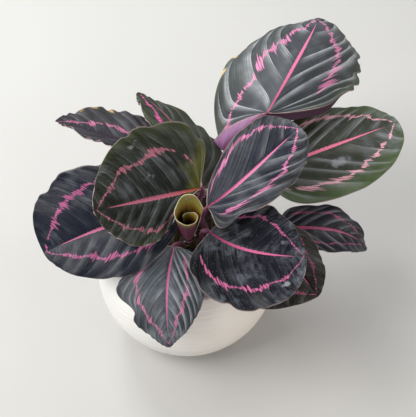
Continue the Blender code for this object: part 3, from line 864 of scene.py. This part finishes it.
def fine_point(leaf, look, u, v, seed):
    """Points of a dressed blade: the part's face with pleats, a grooved midrib and a rippled margin."""
    inside = u * (1 - np.abs(u) ** 6 * (1 - notched(look, u, v)))
    face = blade_point(leaf, inside, v)
    small = 1e-3
    low_u, high_u = np.maximum(inside - small, -1), np.minimum(inside + small, 1)
    low_v, high_v = np.maximum(v - small, 0.001), np.minimum(v + small, 0.999)
    over = blade_point(leaf, high_u, v) - blade_point(leaf, low_u, v)
    ahead = blade_point(leaf, inside, high_v) - blade_point(leaf, inside, low_v)
    normal = unit(np.cross(over, ahead) + 1e-12)
    edge = np.abs(u)
    fold = fold_of(look, vein_of(look, u, v))
    ends = np.sqrt(np.clip(4 * v * (1 - v), 0, 1))
    bulge = np.sin(np.pi * (fold % 1) ** 1.5) - 0.5
    pleat = look["pleat"] * bulge * np.clip(edge / 0.3, 0, 1) * (1 - 0.7 * edge ** 4)
    groove = -GROOVE_DEPTH * np.exp(-(edge / 0.04) ** 2)
    turns = 2 * np.pi * (fold + 0.3 * np.sin(9 * v + seed))
    ripple = look["ripple"] * np.sin(turns) * np.clip((edge - 0.7) / 0.3, 0, 1) ** 2
    return face + normal * ((pleat + groove + ripple) * ends)[..., None]


def burn_of(look, u, v):
    """How dry the margin is, 0 to 1."""
    dry = np.zeros_like(v)
    for side, along, width in look["burn"]:
        near = np.exp(-((v - along) / width) ** 2) * np.clip((np.abs(u) - 0.82) / 0.12, 0, 1)
        dry = np.maximum(dry, np.where(np.sign(u) == side, near, 0))
    return dry


def spot_and_shine_of(look, u, v):
    """How near a point is to the leaf's pale marks, 0 to 1: dried water marks, and one painted highlight
    for a water drop's shine.
    """
    near = np.zeros_like(v)
    for across, along, size, strength in look["spots_and_shine"]:
        far = ((u - across) / size) ** 2 + ((v - along) / (0.7 * size)) ** 2
        near = np.maximum(near, strength * np.exp(-far))
    return near


def blade_values(leaf, look, u, v, points):
    """Named values for a blade's paint. Track and reach are in millimetres."""
    steps = np.linalg.norm(np.diff(points, axis=1), axis=-1)
    walked = np.hstack((np.zeros((len(v), 1)), np.cumsum(steps, axis=1)))
    middle = walked[:, BLADE_COLUMNS // 2][:, None]
    vein = vein_of(look, u, v)
    length = leaf_axes(leaf)[1]
    return dict(across=u, along=v, track=1000 * length * vein, fold=fold_of(look, vein),
                reach=1000 * (walked - middle), burn=burn_of(look, u, v),
                spot=spot_and_shine_of(look, u, v))


def make_blade(name, leaf, look, seed):
    """One open blade with its upper face, underside and margin, thickest along the midrib."""
    rows = (1 - np.cos(np.pi * np.linspace(0, 1, BLADE_ROWS + 1))) / 2
    u, v = np.meshgrid(np.linspace(-1, 1, BLADE_COLUMNS + 1), rows)
    points = fine_point(leaf, look, u, v, seed)
    piece = lofted(f"leaf_{name}", points, **blade_values(leaf, look, u, v, points))
    keel = np.exp(-(u / 0.07) ** 2) * (1 - v ** 2)
    share = np.round(THIN_SHARE + (1 - THIN_SHARE) * keel, 2).ravel()
    rib = piece.vertex_groups.new(name="rib")
    for level in np.unique(share):
        rib.add(np.flatnonzero(share == level).tolist(), float(level), "REPLACE")
    thicken(piece, BLADE_THICKNESS, -1.0, 3).vertex_group = "rib"
    paints = (face_paint(name, look, seed), under_paint(name, seed), rim_paint(name, RIM_COLOUR))
    dress(piece, paints, look["slot"], f"blade_{name}")


def make_fold():
    """The folded-under margin at the base of the highest leaf."""
    leaf = dict(LEAF, **LEAVES["high_back"])
    s = np.linspace(-1, 1, FOLD_COLUMNS + 1)
    side = np.where(s < 0, -1.0, 1.0)
    along = np.abs(s) ** 1.3 * np.where(s < 0, *FOLD_REACH)
    margin = blade_point(leaf, side * np.clip(np.abs(s) * 8, 0.0, 0.985), along)
    taper = np.clip((1 - np.abs(s)) / 0.45, 0, 1)
    drop = (np.where(s < 0, *FOLD_DROP) * taper)[:, None]
    down = np.linspace(0, 1, FOLD_ROWS + 1)[:, None, None]
    inward = np.array(FOLD_AIM) - margin * (1, 1, 0)
    inward = inward / (np.linalg.norm(inward, axis=-1, keepdims=True) + 1e-9)
    fall = np.array((0, 0, -1.0)) * drop
    points = margin + fall * down + inward * (drop * 0.35) * np.sin(np.pi * down * 0.6)
    across, lower = np.broadcast_arrays(s, down[..., 0])
    piece = lofted("leaf_high_back_fold", points - np.array(FOLD_SHIFT), across=across, along=lower)
    thicken(piece, FOLD_THICKNESS, 0.0)
    dress(piece, [fold_paint()], "leaf_dark", "blade_high_back")


def tube(name, path, radii):
    """A round stalk along a path."""
    direction = unit(np.gradient(path, axis=0))
    side = unit(np.cross(direction, (0.3, 1.0, 0.1)))
    over = np.cross(direction, side)
    turn = np.linspace(0, 2 * np.pi, STALK_SIDES, endpoint=False)
    ring = side[:, None] * np.cos(turn)[:, None] + over[:, None] * np.sin(turn)[:, None]
    points = path[:, None] + ring * radii[:, None, None]
    along = np.repeat(np.linspace(0, 1, len(path))[:, None], STALK_SIDES, axis=1)
    return lofted(name, points, closed=True, along=along)


def stalk_radii(t):
    """Radius up a stalk, wider in the sheath at its foot."""
    return STALK_RADIUS + (SHEATH_RADIUS - STALK_RADIUS) * np.clip(1 - SHEATH_TAPER * t, 0, 1)


def make_stalk(name, leaf, skin):
    """The stalk of an open leaf, up to the underside of its blade, with a swelling below it."""
    base, forward, right, up = (part[0] for part in midrib(leaf, np.array([0.0])))
    direction = unit(forward * (1 - leaf["upright"]) + up * leaf["upright"] + right * leaf["aside"])
    path = stalk_path(leaf["root"], base - up * STALK_TUCK, direction, leaf["handles"])
    t = np.linspace(0, 1, STALK_POINTS)
    swelling = STALK_SWELLING * np.exp(-((t - 0.9) / 0.08) ** 2)
    point = np.clip((1 - t) / 0.03, 0.35, 1)
    piece = tube(f"petiole_{name}", path, (stalk_radii(t) + swelling) * point)
    dress(piece, [skin], "stalk", f"stalk_{name}")


def make_rolled_leaf(skin):
    """The young leaf, a scroll with a pale, uneven lip, on its own stalk."""
    u, v = np.meshgrid(np.linspace(0, 1, SCROLL_COLUMNS + 1), np.linspace(0, 1, SCROLL_ROWS + 1))
    beat = np.sin(2 * np.pi * (3.5 * u + 0.2)) + 0.5 * np.sin(2 * np.pi * (8.3 * u + 0.6))
    sunk = 0.2 * np.exp(-(u / 0.3) ** 2) * v
    points = rolled_point(u, v * (1 + 0.02 * beat * v ** 4 - sunk))
    piece = lofted("leaf_rolled", points, across=u, along=v)
    thicken(piece, SCROLL_THICKNESS, 0.0, 3)
    paints = (young_inside(), young_outside(), rim_paint("young", (0.5, 0.43, 0.27)))
    dress(piece, paints, "leaf_young", "blade_rolled")
    base, axis = rolled_axes()[:2]
    path = stalk_path(ROLLED_ROOT, base, axis, LEAF["handles"])
    t = np.linspace(0, 1, STALK_POINTS)
    radii = stalk_radii(t)
    piece = tube("petiole_rolled", path, radii + (ROLLED_RADIUS[0] - radii[-1]) * t ** 4)
    dress(piece, [skin], "stalk", "stalk_rolled")


def ball_arc(radius, low, high, count):
    """(radius, height) points on the bowl's ball between two heights, low to high."""
    heights = np.linspace(low, high, count)
    return [(math.sqrt(radius ** 2 - (z - POT_CENTRE_Z) ** 2), z) for z in heights]


def make_pot():
    """The glazed bowl, with a soft lip and faint throwing ridges, turned about Z from its profile."""
    lip_r = POT_WALL / 2
    lip_z = POT_RIM_Z - lip_r
    outer = ball_arc(POT_RADIUS, FOOT_Z, lip_z, 110)
    outer = [(r + THROW_RIDGE * math.sin(z * 1500) * math.sin(z * 260), z) for r, z in outer]
    inner = ball_arc(POT_RADIUS - POT_WALL, POT_FLOOR, lip_z, 30)[::-1]
    lip_x = (inner[0][0] + outer[-1][0]) / 2
    lip_half = (outer[-1][0] - inner[0][0]) / 2
    turns = np.radians(np.arange(12, 180, 12))
    lip = [(lip_x + lip_half * math.cos(t), lip_z + lip_r * math.sin(t)) for t in turns]
    foot = [(0.0001, 0.0), (outer[0][0] - 0.004, 0.0), (outer[0][0] - 0.001, 0.0006)]
    profile = np.array(foot + outer + lip + inner + [(0.0001, POT_FLOOR)])
    turn = np.linspace(0, 2 * np.pi, POT_STEPS, endpoint=False)
    ring = np.stack((np.cos(turn), np.sin(turn), np.zeros(POT_STEPS)), -1)
    radius, height = profile.T[:, :, None, None]
    piece = lofted("bowl", ring * radius + np.array((0, 0, 1.0)) * height, closed=True)
    dress(piece, [glaze_paint()], "glaze", "pot")


def make_soil():
    """The soil's crumbly surface, and loose perlite and bark on it."""
    reach = math.sqrt((POT_RADIUS - POT_WALL) ** 2 - (SOIL_Z - POT_CENTRE_Z) ** 2) - 0.0004
    radius, turn = np.meshgrid(np.linspace(0.0005, 1, 90) ** 0.8 * reach,
                               np.linspace(0, 2 * np.pi, 240, endpoint=False), indexing="ij")
    x, y = radius * np.cos(turn), radius * np.sin(turn)
    z = np.full_like(x, SOIL_Z - 0.001)
    for index in np.ndindex(x.shape):
        place = Vector((x[index], y[index], 0.0))
        z[index] += sum(noise.noise(place * scale) * height for scale, height in SOIL_LUMPS)
    piece = lofted("potting_soil", np.stack((x, y, z), -1), closed=True)
    dress(piece, [soil_paint()], "soil", "soil")
    scatter("perlite", 150, (0.0006, 0.0016), (1, 1, 0.9), reach, 11,
            crumb_paint("perlite", (0.45, 0.44, 0.42), (0.78, 0.77, 0.74), 0.85))
    scatter("bark", 260, (0.001, 0.0032), (1, 0.5, 0.3), reach, 5,
            crumb_paint("bark", (0.012, 0.008, 0.005), (0.06, 0.036, 0.022), 0.8))


def scatter(name, count, sizes, shape, reach, seed, material):
    """Rough lumps strewn on the soil, joined in one piece."""
    draw = random.Random(seed)
    bpy.ops.mesh.primitive_ico_sphere_add(subdivisions=2, radius=1.0)
    ball = bpy.context.object
    corners = np.array([vert.co[:] for vert in ball.data.vertices])
    faces = np.array([face.vertices[:] for face in ball.data.polygons])
    bpy.data.objects.remove(ball, do_unlink=True)
    points, polygons = [], []
    for number in range(count):
        size = draw.uniform(*sizes)
        away = math.sqrt(draw.random()) * (reach - sizes[1])
        turn, spin = (draw.uniform(0, math.tau) for _ in range(2))
        shift = Vector((number * 3.3, 0, 0))
        rough = [1 + 0.6 * noise.noise(Vector(corner) * 1.7 + shift) for corner in corners]
        lump = corners * np.array(rough)[:, None] * np.array(shape) * size
        cos, sin = math.cos(spin), math.sin(spin)
        lump = lump @ np.array(((cos, sin, 0), (-sin, cos, 0), (0, 0, 1)))
        height = SOIL_Z - BITS_SUNK + 0.4 * size * shape[2]
        points.append(lump + (away * math.cos(turn), away * math.sin(turn), height))
        polygons.append(faces + number * len(corners))
    piece = smooth_piece(name, np.vstack(points), np.vstack(polygons))
    dress(piece, [material], "soil", "soil")


# ---- Stage ----

def make_floor():
    """Pale plain floor."""
    bpy.ops.mesh.primitive_plane_add(size=FLOOR_SIZE, location=(0, 0, FLOOR_Z))
    floor = bpy.context.object
    floor.name = "floor"
    paint = Paint("floor")
    colour = paint.mix(paint.cloud(3.0, 3.0), (0.46, 0.455, 0.435), (0.5, 0.49, 0.47))
    floor.data.materials.append(paint.surface(colour, 0.8))


def add_light(name, place, size, power, colour):
    """A square soft light that faces the plant."""
    data = bpy.data.lights.new(name, "AREA")
    data.shape = "SQUARE"
    data.size = size
    data.energy = power
    data.color = colour
    light = linked(name, data)
    light.location = place
    aim = Vector(LIGHT_AIM) - light.location
    light.rotation_euler = aim.to_track_quat("-Z", "Y").to_euler()


def make_stage():
    """Floor, soft studio light and the camera."""
    scene = bpy.context.scene
    scene.view_settings.view_transform = "Standard"
    make_floor()
    scene.world = bpy.data.worlds.new("studio")
    scene.world.use_nodes = True
    sky = scene.world.node_tree.nodes["Background"]
    sky.inputs["Color"].default_value = SKY_COLOUR
    sky.inputs["Strength"].default_value = SKY_STRENGTH
    for row in LIGHTS:
        add_light(*row)
    data = bpy.data.cameras.new("camera")
    data.lens = CAMERA_LENS
    camera = linked("camera", data)
    camera.location = CAMERA_PLACE
    camera.rotation_euler = (math.radians(CAMERA_TILT), 0, 0)
    scene.camera = camera


def dress_plant():
    """Every piece that stands for a CAD node."""
    skin = stalk_paint("stalk_skin", (0.1, 0.09, 0.02), (0.17, 0.035, 0.085))
    for seed, (name, row) in enumerate(LEAVES.items()):
        leaf = dict(LEAF, **row)
        look = dict(LOOK, **LOOKS[name])
        make_blade(name, leaf, look, seed)
        make_stalk(name, leaf, skin)
    make_fold()
    make_rolled_leaf(skin)
    make_pot()
    make_soil()


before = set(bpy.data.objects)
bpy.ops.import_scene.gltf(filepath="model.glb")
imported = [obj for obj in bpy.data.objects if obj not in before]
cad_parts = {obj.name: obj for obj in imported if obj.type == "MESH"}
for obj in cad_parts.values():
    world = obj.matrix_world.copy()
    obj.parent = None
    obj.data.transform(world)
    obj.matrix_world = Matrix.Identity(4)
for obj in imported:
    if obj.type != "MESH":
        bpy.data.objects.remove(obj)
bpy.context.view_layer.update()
make_stage()
dress_plant()
